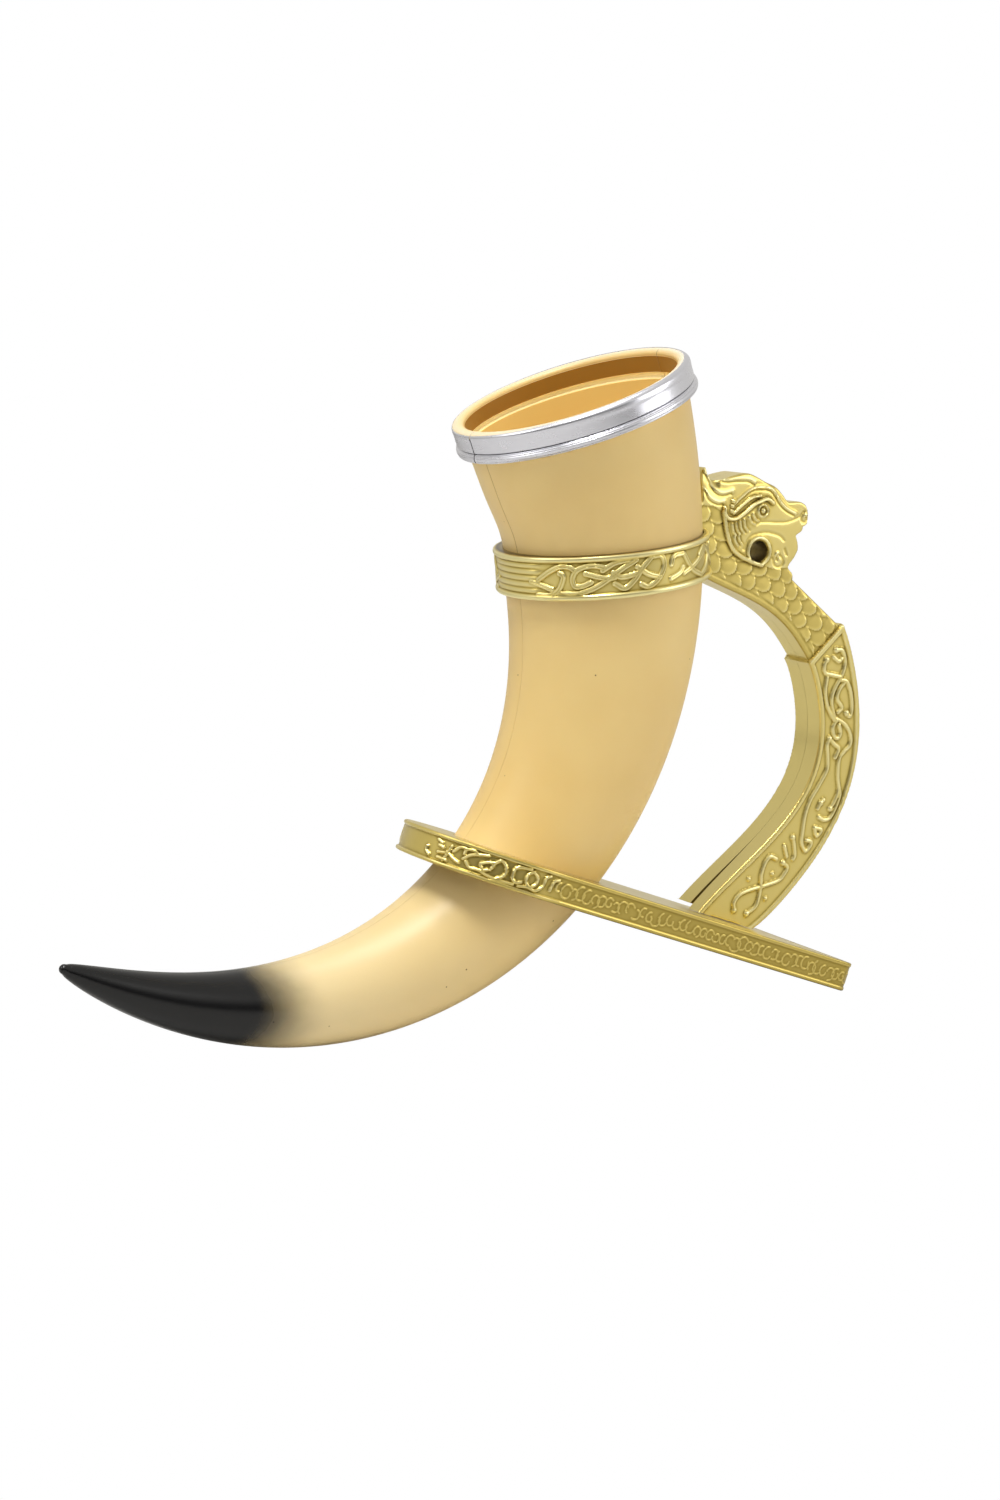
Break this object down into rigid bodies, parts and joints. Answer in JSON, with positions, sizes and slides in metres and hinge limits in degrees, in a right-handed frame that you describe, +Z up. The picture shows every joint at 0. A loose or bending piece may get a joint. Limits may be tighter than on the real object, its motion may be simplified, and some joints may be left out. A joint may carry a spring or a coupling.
{
  "type": "drinking horn",
  "caption": "Curved drinking-horn mug with a silver rim band, held in a gold frame: interlaced collar, dragon-headed handle and plank base with a round end.",
  "frame": {"origin": "on the table, under the middle of the mug's bounding box", "axes": "+X from the horn's tip towards the handle, +Y away from the near half across the parting plane, +Z up"},
  "size_m": [0.3184, 0.0872, 0.2352],
  "materials": {
    "cream_plastic": "satin cream plastic with fine dark specks, tip airbrushed black",
    "silver_band": "bright silver metallised band with light scuffs",
    "gold_paint": "satin antique-gold paint on moulded relief"
  },
  "bodies": {
    "root": {"horn_half_near": "cream_plastic", "horn_half_far": "cream_plastic", "rim_band": "silver_band", "collar": "gold_paint", "handle_half_near": "gold_paint", "handle_half_far": "gold_paint", "base": "gold_paint"}
  },
  "joints": []
}
